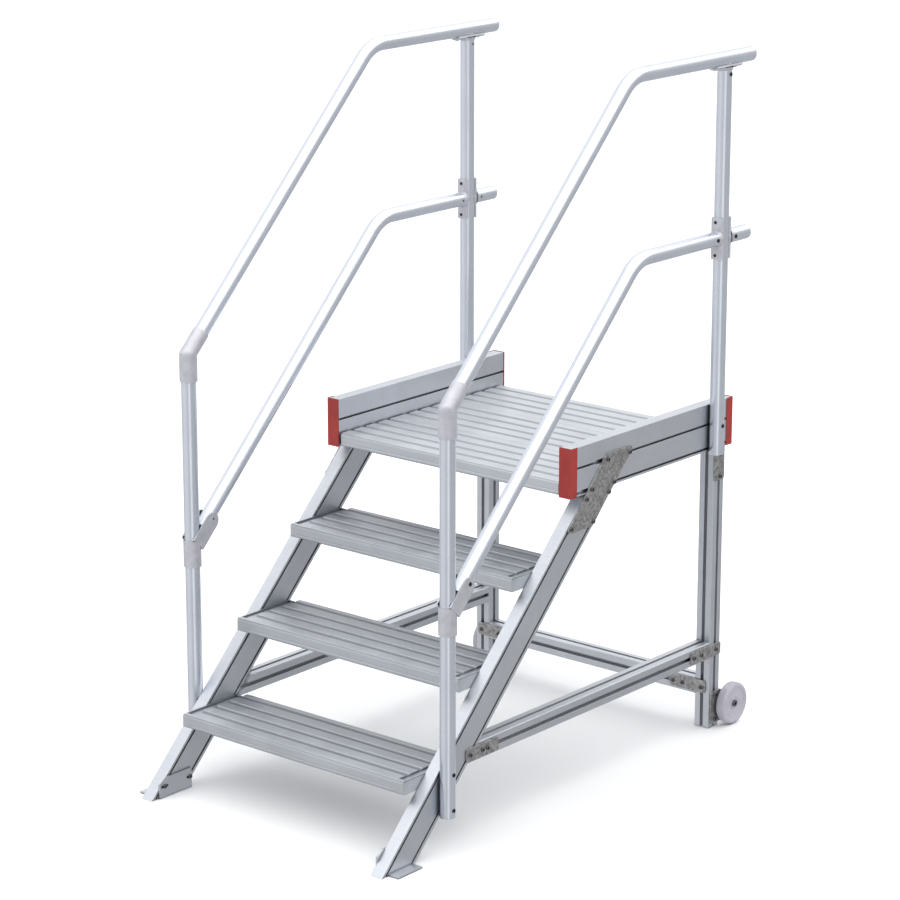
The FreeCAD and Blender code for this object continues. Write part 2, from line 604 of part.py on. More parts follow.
def joint_plates():
    """Galvanised plates over each joint of the frame, and where their screws go."""
    screws = []
    shift = size("front_y")
    base, brace_z, leg_y = size("beam_base"), size("side_brace_z"), size("leg_y")
    rounding = size("plate_round")
    for name, side in SIDES:
        x = side * size("half_width")
        out = Vec(side, 0, 0)

        def side_plate(outline, places):
            holes = [Vec(x, y + shift, z) for y, z in places]
            screws.extend((hole, out) for hole in holes)
            return flat_plate([Vec(x, y + shift, z) for y, z in outline], rounding, out, holes)

        low, high = base - size("gusset_bottom"), base + size("gusset_top")
        first, last = gusset_edge(low), gusset_edge(high)
        outline = [(first, low), (first + size("gusset_low_width"), low),
                   (last + size("gusset_top_width"), high), (last, high)]
        rows = (base + size("high_slot"), base + size("low_slot"),
                base - size("gusset_row_base"), low + size("gusset_row_low"))
        places = [(y, z) for z in rows for y in slot_depths(z)]
        feature("gusset_" + name, side_plate(outline, places))

        half = size("brace_plate_height") / 2
        slot_y = slot_depths(brace_z)[1]
        start = slot_y - size("front_plate_lap")
        stop = start + size("brace_plate_length")
        outline = box_corners(start, stop, brace_z - half, brace_z + half)
        places = [(y, brace_z) for y in (slot_y, stop - size("front_plate_screw"),
                                         stop - size("front_plate_end"))]
        front = side_plate(outline, places)
        stop = leg_y + size("rear_plate_past")
        start = stop - size("rear_plate_length")
        outline = box_corners(start, stop, brace_z - half, brace_z + half)
        places = [(y, brace_z) for y in (start + size("plate_end"),
                                         start + size("rear_plate_screw"), leg_y)]
        rear = side_plate(outline, places)
        group("brace_plates_" + name, [front, rear])

        low, high = size("strap_bottom"), size("strap_bottom") + size("strap_height")
        middle, half = leg_y - size("strap_shift"), size("strap_width") / 2
        outline = box_corners(middle - half, middle + half, low, high)
        places = [(leg_y, z) for z in (low + size("strap_screw_low"),
                                       low + size("strap_screw_mid"), base + size("low_slot"))]
        feature("leg_strap_" + name, side_plate(outline, places))

        front_y = size("leg_front") + shift
        inner = size("half_width") - size("leg_size") / 2
        middle = size("cross_brace_z") + size("cross_plate_rise")
        half = size("cross_plate_height") / 2
        stop = inner + size("plate_end")
        start = stop - size("cross_plate_length")
        corners = [Vec(side * across, front_y, z) for across, z in
                   box_corners(start, stop, middle - half, middle + half)]
        holes = [Vec(side * across, front_y, size("cross_brace_z"))
                 for across in (inner, inner - size("front_plate_screw"),
                                start + size("plate_end"))]
        screws.extend((hole, Vec(0, -1, 0)) for hole in holes)
        feature("cross_plate_" + name, flat_plate(corners, rounding, Vec(0, -1, 0), holes))
    return screws


def rotation_to(direction):
    return FreeCAD.Rotation(Z_AXIS, direction)


def turned(shape, point, direction):
    """Copy of a shape made along +Z, moved to the point and aimed along the direction."""
    copy = shape.copy()
    copy.Placement = FreeCAD.Placement(point, rotation_to(direction))
    return copy


def plate_screw():
    """Button head screw with a hexagon socket: head above z = 0, shank below."""
    radius, tall = size("screw_head"), size("screw_head_tall")
    head = Part.makeCylinder(radius, tall)
    rim = [edge for edge in head.Edges if abs(edge.BoundBox.ZMin - tall) < 1e-6]
    head = head.makeFillet(tall * 0.55, rim)
    shank = Part.makeCylinder(size("screw_radius"), size("screw_reach"),
                              Vec(0, 0, -size("screw_reach")))
    socket = hexagon(size("screw_socket"), tall - size("socket_deep"), tall)
    return head.fuse(shank).cut(socket).removeSplitter()


def hexagon(radius, low, high):
    """Hexagonal prism about Z between two heights."""
    turns = [math.radians(60 * i) for i in range(7)]
    corners = [Vec(radius * math.cos(turn), radius * math.sin(turn), low) for turn in turns]
    return Part.Face(Part.makePolygon(corners)).extrude(Vec(0, 0, high - low))


def fasteners(screws):
    """Plate and rail screws, and the slot nuts that they pull against in the profiles."""
    screw = plate_screw()
    group("plate_screws", [turned(screw, point + way * size("plate_thick"), way)
                           for point, way in screws])
    screws = screws + rail_screws()
    nut = Part.makeBox(size("nut_wide"), size("nut_wide"), size("nut_thick"),
                       Vec(-size("nut_wide") / 2, -size("nut_wide") / 2, 0))
    nut = nut.cut(Part.makeCylinder(size("screw_radius") + 0.05, size("nut_thick")))
    depth = size("slot_lip") + size("nut_thick") + 0.1
    group("slot_nuts", [turned(nut, point - way * depth, way) for point, way in screws])


def frame_screws():
    """Screws through the feet and the tread end pieces into the stringers' inner slots."""
    screw = plate_screw()
    pieces = []
    for name, side in SIDES:
        out = Vec(-side, 0, 0)
        foot_face = side * (size("inner_half") - size("foot_thick"))
        for y in slot_depths(size("foot_bolt_z")):
            point = Vec(foot_face, y + size("front_y"), size("foot_bolt_z"))
            pieces.append(turned(screw, point, out))
        for k in range(1, TREADS + 1):
            middle = size("deck_height") - (TREADS + 1 - k) * size("rise")
            middle -= size("plank_height") / 2
            end_face = side * (size("inner_half") - size("tread_end_wall"))
            for y in slot_depths(middle):
                point = Vec(end_face, y + size("front_y"), middle)
                pieces.append(turned(screw, point, out))
    group("frame_screws", pieces)


# ---------------------------------------------------------------- handrail
def tube_body(label, length):
    """Straight round tube standing on its own XY plane."""
    body = new_body(label)
    sketch = new_sketch(body, "XY_Plane")
    add_circle(sketch, "0", "0", "Dims.tube_radius")
    add_circle(sketch, "0", "0", "Dims.bore_radius")
    pad(body, sketch, length)
    return body


def cross_holes(body, places, role="YZ_Plane"):
    """Screw holes through both walls of a tube, as expressions in the given plane."""
    sketch = new_sketch(body, role, "Holes")
    for x, y in places:
        add_circle(sketch, x, y, "Dims.screw_hole")
    through(body, sketch, "3 * Dims.tube_radius")


def bent_rail(label, name):
    """Level tube from its rear end, bent down to the stair's slope at the front."""
    body = new_body(label)
    ring = new_sketch(body, "XZ_Plane", "Ring")
    add_circle(ring, "0", "0", "Dims.tube_radius")
    add_circle(ring, "0", "0", "Dims.bore_radius")
    path = new_sketch(body, "YZ_Plane", "Path")
    run, radius = size(name + "_run"), size("bend_radius")
    lean = math.radians(size("slope"))
    bend = Vec(-run - size("bend_x"), -size("bend_z"), 0)
    foot = Vec(-run - size(name + "_foot_x"), -size(name + "_foot_z"), 0)
    path.addGeometry(Part.LineSegment(Vec(0, 0, 0), Vec(-run, 0, 0)), False)
    circle = Part.Circle(Vec(-run, -radius, 0), Z_AXIS, radius)
    path.addGeometry(Part.ArcOfCircle(circle, math.pi / 2, math.pi / 2 + lean), False)
    path.addGeometry(Part.LineSegment(bend, foot), False)
    path.addConstraint(Sketcher.Constraint("Coincident", 0, 1, -1, 1))
    path.addConstraint(Sketcher.Constraint("Tangent", 0, 2, 1, 1))
    path.addConstraint(Sketcher.Constraint("Tangent", 1, 2, 2, 1))
    bind_point(path, 0, 2, "-Dims.%s_run" % name, "0")
    index = path.addConstraint(Sketcher.Constraint("Radius", 1, radius))
    path.setExpression("Constraints[%d]" % index, "Dims.bend_radius")
    bind_point(path, 2, 2, "-Dims.%s_run - Dims.%s_foot_x" % (name, name),
               "-Dims.%s_foot_z" % name)
    doc.recompute()
    pipe = body.newObject("PartDesign::AdditivePipe", "Pipe")
    pipe.Profile = ring
    pipe.Spine = (path, ["Edge1", "Edge2", "Edge3"])
    doc.recompute()
    return body


def tube_frame(side, y, z, direction):
    """Placement that stands +Z along the direction, at a point in the rail's plane."""
    return at(side * size("tube_x"), y, z, rotation_to(direction))


def saddle(side, y, z, run, branch):
    """Casting that sits on a running tube and carries a spigot for the branch tube."""
    outer = size("sleeve_bore") + size("saddle_wall")
    long, wrap = size("saddle_length"), size("saddle_wrap")
    shell = Part.makeCylinder(outer, long, Vec(0, 0, -long / 2), Z_AXIS, wrap)
    shell.rotate(Vec(0, 0, 0), Z_AXIS, -wrap / 2)
    collar = Part.makeCone(size("sleeve_radius"), size("tube_radius"),
                           size("collar_length") + 4, Vec(outer - 4, 0, 0), X_AXIS)
    spigot_radius = size("bore_radius") - size("spigot_fit")
    reach = outer + size("collar_length") + size("spigot_length")
    spigot = Part.makeCylinder(spigot_radius, reach, Vec(0, 0, 0), X_AXIS)
    solid = shell.fuse([collar, spigot])
    bore = Part.makeCylinder(size("sleeve_bore"), 2 * long, Vec(0, 0, -long), Z_AXIS)
    solid = solid.cut(bore).removeSplitter()
    hole = size("screw_hole")
    for offset in (wing_offset(), -wing_offset()):
        solid = solid.cut(Part.makeCylinder(hole, outer + 2, Vec(0, 0, offset), X_AXIS))
    side_hole = Vec(size("socket_start") + size("socket_screw"), -outer, 0)
    solid = solid.cut(Part.makeCylinder(hole, 2 * outer, side_hole, Y_AXIS))
    across = run.cross(branch)
    matrix = FreeCAD.Matrix(branch.x, across.x, run.x, 0, branch.y, across.y, run.y, 0,
                            branch.z, across.z, run.z, 0, 0, 0, 0, 1)
    solid.Placement = FreeCAD.Placement(matrix)
    solid.translate(Vec(side * size("tube_x"), y + size("front_y"), z))
    return solid


def wing_offset():
    """Distance of the wing screws from the middle of a saddle."""
    return size("saddle_length") / 2 - size("wing_screw")


def elbow(label, side):
    """Cast elbow: wide lower sleeve, and a ball and upper sleeve that step in from it."""
    low, high, outer = size("elbow_low"), size("elbow_high"), size("sleeve_radius")
    climb = slope_direction()
    inner = outer - size("elbow_step")
    solid = Part.makeSphere(inner)
    bores = []
    for way, long, radius in ((Vec(0, 0, -1), low, outer), (climb, high, inner)):
        solid = solid.fuse(Part.makeCylinder(radius, long, Vec(0, 0, 0), way))
        gap = way * size("elbow_gap")
        bores.append(Part.makeCylinder(size("sleeve_bore"), long, gap, way))
    solid = solid.cut(bores).removeSplitter()
    solid.translate(Vec(side * size("tube_x"), size("tube_y") + size("front_y"),
                        size("elbow_z")))
    feature(label, solid)


def slope_direction():
    lean = math.radians(size("slope"))
    return Vec(0, math.cos(lean), math.sin(lean))


def clamp(label, side):
    """Cast bracket: sleeve on the front tube and two cheeks that hold the knee rail."""
    outer, bore = size("sleeve_radius"), size("sleeve_bore")
    sleeve = Part.makeCylinder(outer, size("clamp_height"), Vec(0, 0, -size("clamp_below")))
    climb = slope_direction()
    down = Vec(0, climb.z, -climb.y)
    long = size("cheek_length") - outer
    wall = size("cheek_wall")
    solid = sleeve
    for x in (outer - wall, -outer):
        corner = [Vec(x, 0, 0) + down * -outer, Vec(x, 0, 0) + climb * long + down * -outer,
                  Vec(x, 0, 0) + climb * (long + outer),
                  Vec(x, 0, 0) + climb * long + down * outer, Vec(x, 0, 0) + down * outer]
        tip = Part.Arc(corner[1], corner[2], corner[3]).toShape()
        lines = [Part.makeLine(corner[0], corner[1]), tip, Part.makeLine(corner[3], corner[4]),
                 Part.makeLine(corner[4], corner[0])]
        solid = solid.fuse(Part.Face(Part.Wire(lines)).extrude(Vec(wall, 0, 0)))
    bores = [Part.makeCylinder(bore, 4 * outer + 60, Vec(0, 0, -2 * outer - 60)),
             Part.makeCylinder(bore, 6 * outer, Vec(0, 0, 0), climb)]
    solid = solid.cut(bores).removeSplitter()
    floor = Part.makeBox(6 * outer, 8 * outer, 4 * outer,
                         Vec(-3 * outer, -4 * outer, -size("clamp_below") - 4 * outer))
    solid = solid.cut(floor)
    start = climb * size("cheek_screw") - Vec(2 * outer, 0, 0)
    solid = solid.cut(Part.makeCylinder(size("screw_hole"), 4 * outer, start, X_AXIS))
    solid.translate(Vec(side * size("tube_x"), size("tube_y") + size("front_y"),
                        size("clamp_z")))
    feature(label, solid)


def handrails():
    """Front tube, elbow, top rail, rear post, knee rail and their castings, both sides."""
    back, up = Vec(0, 1, 0), Vec(0, 0, 1)
    for name, side in SIDES:
        x = side * size("tube_x")
        front = tube_body("front_tube_" + name, "Dims.elbow_z - Dims.elbow_gap - "
                          "Dims.front_tube_bottom")
        cross_holes(front, [("0", "Dims.front_bolt_low - Dims.front_tube_bottom"),
                            ("0", "Dims.front_bolt_high - Dims.front_tube_bottom")])
        front.Placement = at(x, size("tube_y"), size("front_tube_bottom"))
        elbow("rail_elbow_" + name, side)
        rail = bent_rail("top_rail_" + name, "top")
        rail.Placement = at(x, size("top_rail_end"), size("top_rail_z"))
        bottom = size("beam_base") - size("post_below")
        post = tube_body("rear_post_" + name, "Dims.top_rail_z - Dims.socket_start - "
                         "Dims.beam_base + Dims.post_below")
        tall = "(Dims.top_rail_z - Dims.socket_start - Dims.beam_base + Dims.post_below)"
        cross_holes(post, [("0", "Dims.high_slot + Dims.post_below"),
                           ("0", tall + " - Dims.socket_screw")])
        post.Placement = at(x, size("post_y"), bottom)
        feature("top_saddle_" + name,
                saddle(side, size("post_y"), size("top_rail_z"), back, Vec(0, 0, -1)))
        feature("knee_saddle_front_" + name,
                saddle(side, size("post_y"), size("mid_rail_z"), up, Vec(0, -1, 0)))
        feature("knee_saddle_rear_" + name,
                saddle(side, size("post_y"), size("mid_rail_z"), up, back))
        knee = bent_rail("knee_rail_" + name, "mid")
        reach = "(Dims.cheek_screw - Dims.rail_start)"
        cross_holes(knee, [("-Dims.socket_screw", "0"),
                           ("-Dims.mid_run - Dims.mid_foot_x + %s * cos(Dims.slope * 1deg)"
                            % reach, "%s * sin(Dims.slope * 1deg) - Dims.mid_foot_z" % reach)])
        knee.Placement = at(x, size("knee_end"), size("mid_rail_z"))
        clamp("knee_clamp_" + name, side)
        stub = tube_body("knee_stub_" + name, "Dims.mid_rail_end - Dims.post_y - "
                         "Dims.socket_start")
        cross_holes(stub, [("0", "Dims.socket_screw")])
        stub.Placement = tube_frame(side, size("post_y") + size("socket_start"),
                                    size("mid_rail_z"), back)
    tube_end_caps()


def tube_end_caps():
    """Domed plugs in the open rear ends of the four rails."""
    radius, bore, long = size("tube_radius"), size("bore_radius"), size("end_cap")
    disc = Part.makeCylinder(radius, long)
    rim = [edge for edge in disc.Edges if abs(edge.BoundBox.ZMin - long) < 1e-6]
    cap = disc.makeFillet(long - 0.5, rim)
    deep = size("plug_length")
    plug = Part.makeCylinder(bore - size("spigot_fit"), deep, Vec(0, 0, -deep))
    cap = cap.fuse(plug).removeSplitter()
    pieces = []
    for name, side in SIDES:
        for y, z in ((size("top_rail_end"), size("top_rail_z")),
                     (size("mid_rail_end"), size("mid_rail_z"))):
            point = Vec(side * size("tube_x"), y + size("front_y"), z)
            pieces.append(turned(cap, point, Y_AXIS))
    group("tube_end_caps", pieces)


def rail_screw(length, head_radius):
    """Low round-headed screw with a socket: head above z = 0, shank below."""
    tall = size("rail_screw_proud")
    head = Part.makeCylinder(head_radius, tall)
    rim = [edge for edge in head.Edges if abs(edge.BoundBox.ZMin - tall) < 1e-6]
    head = head.makeFillet(tall * 0.6, rim)
    shank = Part.makeCylinder(size("screw_radius"), length, Vec(0, 0, -length))
    socket = hexagon(size("screw_radius"), tall - 1, tall)
    return head.fuse(shank).cut(socket).removeSplitter()


def rail_screws():
    """Screws of the handrail, and the places where the long ones meet the frame's slots."""
    radius, x = size("tube_radius"), size("tube_x")
    shift, tube, post = size("front_y"), size("tube_y"), size("post_y")
    head = size("rail_screw_head")
    long = rail_screw(2 * radius + size("screw_reach") - size("plate_thick"), head)
    short = rail_screw(2 * size("tube_wall") + 2, head)
    wing = rail_screw(size("saddle_wall"), size("wing_screw_head"))
    slope = slope_direction()
    cheek = slope * size("cheek_screw")
    screw_y = size("socket_start") + size("socket_screw")
    wing_y = size("sleeve_bore") + size("saddle_wall")
    pieces, slots = [], []
    for name, side in SIDES:
        out = Vec(side, 0, 0)
        anchors = [(tube, size("front_bolt_low")), (tube, size("front_bolt_high")),
                   (post, size("beam_base") + size("high_slot"))]
        for y, z in anchors:
            pieces.append(turned(long, Vec(side * (x + radius), y + shift, z), out))
            slots.append((Vec(side * size("half_width"), y + shift, z), out))
        knee, top = size("mid_rail_z"), size("top_rail_z")
        for y, z in ((post - screw_y, knee), (post + screw_y, knee), (post, top - screw_y)):
            pieces.append(turned(short, Vec(side * (x + radius), y + shift, z), out))
        outer = size("sleeve_radius")
        point = Vec(side * (x + outer), tube + shift + cheek.y, size("clamp_z") + cheek.z)
        pieces.append(turned(short, point, out))
        for offset in (wing_offset(), -wing_offset()):
            for way in (-1, 1):
                point = Vec(side * x, post + way * wing_y + shift, knee + offset)
                pieces.append(turned(wing, point, Vec(0, way, 0)))
            point = Vec(side * x, post + offset + shift, top - wing_y)
            pieces.append(turned(wing, point, Vec(0, 0, -1)))
    group("rail_screws", pieces)
    return slots


# ---------------------------------------------------------------- wheels
def wheels(screws):
    """Wheel, its bracket on the leg and its axle, both sides."""
    shift, thick = size("front_y"), size("plate_thick")
    y, z = size("wheel_y") + shift, size("wheel_z")
    for name, side in SIDES:
        out = Vec(side, 0, 0)
        face = Vec(side * size("half_width"), y, z)
        wheel_body("wheel_" + name, side, side * size("wheel_x"), face)
        front, back = size("leg_y") - size("bracket_front"), size("wheel_y") + size("bracket_back")
        low, high = size("bracket_bottom"), size("bracket_bottom") + size("bracket_height")
        corners = [Vec(face.x, depth + shift, height) for depth, height in
                   ((front, low), (back, low), (back, low + size("bracket_low_edge")),
                    (front + size("bracket_top_width"), high), (front, high))]
        inset = size("bracket_screw")
        places = [Vec(face.x, size("leg_y") + shift, height)
                  for height in (low + inset, high - inset)]
        plate = flat_plate(corners, size("bracket_round"), out, places)
        screws.extend((place, out) for place in places)
        boss = Part.makeCylinder(size("hub_boss"), size("wheel_gap") - size("hub_clearance"),
                                 face + out * thick, out)
        hole = Part.makeCylinder(size("axle_radius") + size("axle_fit"), 4 * thick,
                                 face - out * thick, out)
        feature("wheel_bracket_" + name, plate.fuse(boss).cut(hole).removeSplitter())
        feature("wheel_axle_" + name, turned(axle_shape(), face, out))


def axle_shape():
    """Axle along +Z from the bracket's back: riveted end, shank, and head with a socket."""
    radius, rivet = size("axle_radius"), size("axle_rivet_tall")
    length = (size("plate_thick") + size("wheel_gap") + size("wheel_width")
              - size("wheel_dish") + size("hub_clearance"))
    tall = size("axle_head_tall")
    shank = Part.makeCylinder(radius, length + rivet, Vec(0, 0, -rivet))
    end = Part.makeCylinder(size("axle_rivet"), rivet, Vec(0, 0, -rivet))
    head = Part.makeCylinder(size("axle_head"), tall, Vec(0, 0, length))
    rim = [edge for edge in head.Edges if abs(edge.BoundBox.ZMin - length - tall) < 1e-6]
    head = head.makeFillet(tall / 3, rim)
    socket = hexagon(size("axle_socket"), length + tall / 4, length + tall)
    return shank.fuse([end, head]).cut(socket).removeSplitter()


def wheel_body(label, side, start, centre):
    """Solid wheel turned about its own Z axis: hub, web and tread, dished outside."""
    body = new_body(label)
    sketch = new_sketch(body, "XZ_Plane")
    bore = "Dims.axle_radius + Dims.axle_fit"
    wide, hub, rim = "Dims.wheel_width", "Dims.wheel_hub", "Dims.wheel_rim"
    edge, dish = "Dims.wheel_radius", "Dims.wheel_dish"
    sunk = wide + " - " + dish
    add_outline(sketch, [(bore, "0"), (hub, "0"), (hub, dish), (rim, dish), (rim, "0"),
                         (edge, "0"), (edge, wide), (rim, wide), (rim + " - 3", sunk),
                         (hub + " + 3", sunk + " * 1.6"), (hub, sunk), (bore, sunk)])
    turn = body.newObject("PartDesign::Revolution", "Revolution")
    turn.Profile = sketch
    turn.ReferenceAxis = (sketch, ["V_Axis"])
    turn.Angle = 360
    doc.recompute()
    radius = size("wheel_radius")

    def shoulder(item):
        if item.Curve.TypeId != "Part::GeomCircle":
            return False
        return abs(item.Curve.Radius - radius) < 1e-6

    round_edges(body, "Dims.wheel_dish", shoulder)
    body.Placement = FreeCAD.Placement(Vec(start, centre.y, centre.z),
                                       rotation_to(Vec(side, 0, 0)))


# ---------------------------------------------------------------- build, check and export
def check_document():
    doc.recompute()
    for item in doc.Objects:
        if "Invalid" in item.State or "Error" in item.State:
            raise ValueError("%s of %s failed" % (item.Name, item.State))
    for item in PARTS:
        if item.Shape.isNull() or not item.Shape.isValid() or not item.Shape.Solids:
            raise ValueError("%s has no valid solid" % item.Label)


for name, side in SIDES:
    beam("beam_" + name, side)
    stringer("stringer_" + name, side)
    foot("foot_" + name, side)
beam_end_caps()
platform()
treads()
legs_and_braces()
SCREWS = joint_plates()
handrails()
wheels(SCREWS)
fasteners(SCREWS)
frame_screws()
check_document()
os.makedirs("parts", exist_ok=True)
for item in PARTS:
    item.Shape.exportStep("parts/%s.step" % item.Label)
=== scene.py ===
import bmesh
import bpy
import json
import math
from mathutils import Matrix, Vector


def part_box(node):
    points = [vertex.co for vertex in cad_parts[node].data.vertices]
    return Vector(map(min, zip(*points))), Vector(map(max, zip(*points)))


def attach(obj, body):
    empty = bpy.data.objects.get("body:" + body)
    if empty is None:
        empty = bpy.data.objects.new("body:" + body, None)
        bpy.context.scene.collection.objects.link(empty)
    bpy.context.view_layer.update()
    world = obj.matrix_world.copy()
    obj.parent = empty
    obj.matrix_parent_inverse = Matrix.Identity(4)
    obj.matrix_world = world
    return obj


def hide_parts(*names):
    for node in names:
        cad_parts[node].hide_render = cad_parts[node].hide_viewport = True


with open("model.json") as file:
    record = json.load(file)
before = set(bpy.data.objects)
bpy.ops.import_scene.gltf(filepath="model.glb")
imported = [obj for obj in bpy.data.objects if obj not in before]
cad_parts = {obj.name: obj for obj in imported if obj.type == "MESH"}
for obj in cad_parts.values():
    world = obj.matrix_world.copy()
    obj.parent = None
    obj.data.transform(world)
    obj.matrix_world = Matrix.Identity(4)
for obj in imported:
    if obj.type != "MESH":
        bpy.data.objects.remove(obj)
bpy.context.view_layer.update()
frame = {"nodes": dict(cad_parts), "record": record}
NODES = frame["nodes"]
SLOT_OF = {item["node"]: item["material_slot"] for item in frame["record"]["subparts"]}

# ---------------------------------------------------------------- places from the frame
FRONT_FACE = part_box("beam_end_caps")[0].y
TREAD_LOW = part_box("tread_1")
TREAD_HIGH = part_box("tread_2")
RISE = TREAD_HIGH[1].z - TREAD_LOW[1].z
SLOPE = math.atan2(RISE, TREAD_HIGH[0].y - TREAD_LOW[0].y)
WALKING_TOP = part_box("deck_plank_front")[1].z

# ---------------------------------------------------------------- camera
CAMERA_ACROSS = 4.87649
CAMERA_BEFORE = 5.81044
CAMERA_HEIGHT = 2.90356
CAMERA_AZIMUTH = math.radians(39.919)
CAMERA_DOWN = math.radians(15.382)
LENS = 126.2
SENSOR = 36
NEAR, FAR = 0.1, 200


def add_camera():
    data = bpy.data.cameras.new("camera")
    data.lens = LENS
    data.sensor_width = SENSOR
    data.clip_start, data.clip_end = NEAR, FAR
    camera = bpy.data.objects.new("camera", data)
    camera.location = (CAMERA_ACROSS, FRONT_FACE - CAMERA_BEFORE, CAMERA_HEIGHT)
    camera.rotation_euler = (math.pi / 2 - CAMERA_DOWN, 0, CAMERA_AZIMUTH)
    bpy.context.scene.collection.objects.link(camera)
    bpy.context.scene.camera = camera


# ---------------------------------------------------------------- material graphs
RECESS_SAMPLES = 6
EDGE_SAMPLES = 4
COLOUR_A, COLOUR_B, COLOUR_OUT = 6, 7, 2


class Graph:
    """A material's node tree with one principled shader."""

    def __init__(self, name):
        self.material = bpy.data.materials.new(name)
        self.material.use_nodes = True
        self.tree = self.material.node_tree
        self.tree.nodes.clear()
        self.shader = self.add("ShaderNodeBsdfPrincipled")
        output = self.add("ShaderNodeOutputMaterial")
        self.link(self.shader.outputs[0], output.inputs[0])
        self.coords = self.add("ShaderNodeTexCoord").outputs["Object"]

    def add(self, kind, **settings):
        node = self.tree.nodes.new(kind)
        for key, value in settings.items():
            setattr(node, key, value)
        return node

    def link(self, source, target):
        self.tree.links.new(source, target)

    def put(self, node, name, value):
        """Set an input to a number or colour, or link a socket into it."""
        target = node.inputs[name]
        if isinstance(value, bpy.types.NodeSocket):
            self.link(value, target)
        else:
            target.default_value = value

    def set(self, **values):
        for key, value in values.items():
            self.put(self.shader, key.replace("_", " "), value)

    def math(self, operation, a, b=0.0, clamp=False):
        node = self.add("ShaderNodeMath", operation=operation, use_clamp=clamp)
        self.put(node, 0, a)
        self.put(node, 1, b)
        return node.outputs[0]

    def spread(self, value, low, high, start=0.0, stop=1.0, smooth=False):
        """Map a value from low..high to start..stop."""
        node = self.add("ShaderNodeMapRange")
        node.interpolation_type = "SMOOTHSTEP" if smooth else "LINEAR"
        for key, number in zip(range(5), (value, low, high, start, stop)):
            self.put(node, key, number)
        return node.outputs[0]

    def mapped(self, rotation, scale):
        node = self.add("ShaderNodeMapping")
        node.inputs["Rotation"].default_value = rotation
        node.inputs["Scale"].default_value = scale
        self.link(self.coords, node.inputs["Vector"])
        return node.outputs[0]

    def noise_node(self, scale, detail, rough, vector=None):
        node = self.add("ShaderNodeTexNoise")
        self.link(vector or self.coords, node.inputs["Vector"])
        node.inputs["Scale"].default_value = scale
        node.inputs["Detail"].default_value = detail
        node.inputs["Roughness"].default_value = rough
        return node

    def noise(self, scale, detail, rough, vector=None):
        return self.noise_node(scale, detail, rough, vector).outputs["Fac"]

    def cell_channels(self, scale, vector):
        """Three random values that are constant over each cell."""
        node = self.add("ShaderNodeTexVoronoi", feature="F1")
        self.link(vector, node.inputs["Vector"])
        node.inputs["Scale"].default_value = scale
        split = self.add("ShaderNodeSeparateColor")
        self.link(node.outputs["Color"], split.inputs[0])
        return split.outputs

    def mix(self, factor, first, second):
        node = self.add("ShaderNodeMix", data_type="RGBA")
        self.put(node, "Factor", factor)
        for index, value in ((COLOUR_A, first), (COLOUR_B, second)):
            if isinstance(value, bpy.types.NodeSocket):
                self.link(value, node.inputs[index])
            else:
                node.inputs[index].default_value = rgba(value)
        return node.outputs[COLOUR_OUT]

    def recess(self, distance, low=0.25, high=0.8):
        """1 in slots, sockets and joints, 0 on open faces: the ambient occlusion mask that the
        materials use to paint shade.
        """
        node = self.add("ShaderNodeAmbientOcclusion", samples=RECESS_SAMPLES)
        node.inputs["Distance"].default_value = distance
        return self.spread(node.outputs["AO"], low, high, 1.0, 0.0, smooth=True)

    def edges(self, radius, low=0.004, high=0.08):
        """1 along sharp edges, 0 on faces, and the rounded normal that goes with them."""
        bevel = self.add("ShaderNodeBevel", samples=EDGE_SAMPLES)
        bevel.inputs["Radius"].default_value = radius
        flat = self.add("ShaderNodeNewGeometry").outputs["Normal"]
        dot = self.add("ShaderNodeVectorMath", operation="DOT_PRODUCT")
        self.link(bevel.outputs[0], dot.inputs[0])
        self.link(flat, dot.inputs[1])
        turned = self.math("SUBTRACT", 1.0, dot.outputs["Value"])
        return self.spread(turned, low, high), bevel.outputs[0]

    def bump(self, height, depth, strength, normal=None):
        node = self.add("ShaderNodeBump")
        node.inputs["Distance"].default_value = depth
        node.inputs["Strength"].default_value = strength
        self.link(height, node.inputs["Height"])
        if normal is not None:
            self.link(normal, node.inputs["Normal"])
        return node.outputs[0]


def rgba(colour):
    return (colour[0], colour[1], colour[2], 1.0)


# Rotations that bring each run of a profile onto the texture's X axis.
RUNS = {
    "across": (0.0, 0.0, 0.0),
    "back": (0.0, 0.0, -math.pi / 2),
    "up": (0.0, math.pi / 2, 0.0),
    "stair": (-SLOPE, 0.0, -math.pi / 2),
}
DIE_LINES = (4.0, 420.0, 420.0)
FINE_LINES = (9.0, 1500.0, 1500.0)
DRAWN_RUB_WIDTH = 0.0009
DRAWN_SLOT_REACH = 0.012
DRAWN_LINE_DEPTH = 0.00006
DRAWN_RUBBED = (0.93, 0.94, 0.96)
DRAWN_SLOT_SHADE = (0.045, 0.05, 0.06)
EXTRUDED_LIGHT = (0.66, 0.68, 0.72)
EXTRUDED_DARK = (0.55, 0.57, 0.61)
EXTRUDED_ROUGH = 0.42


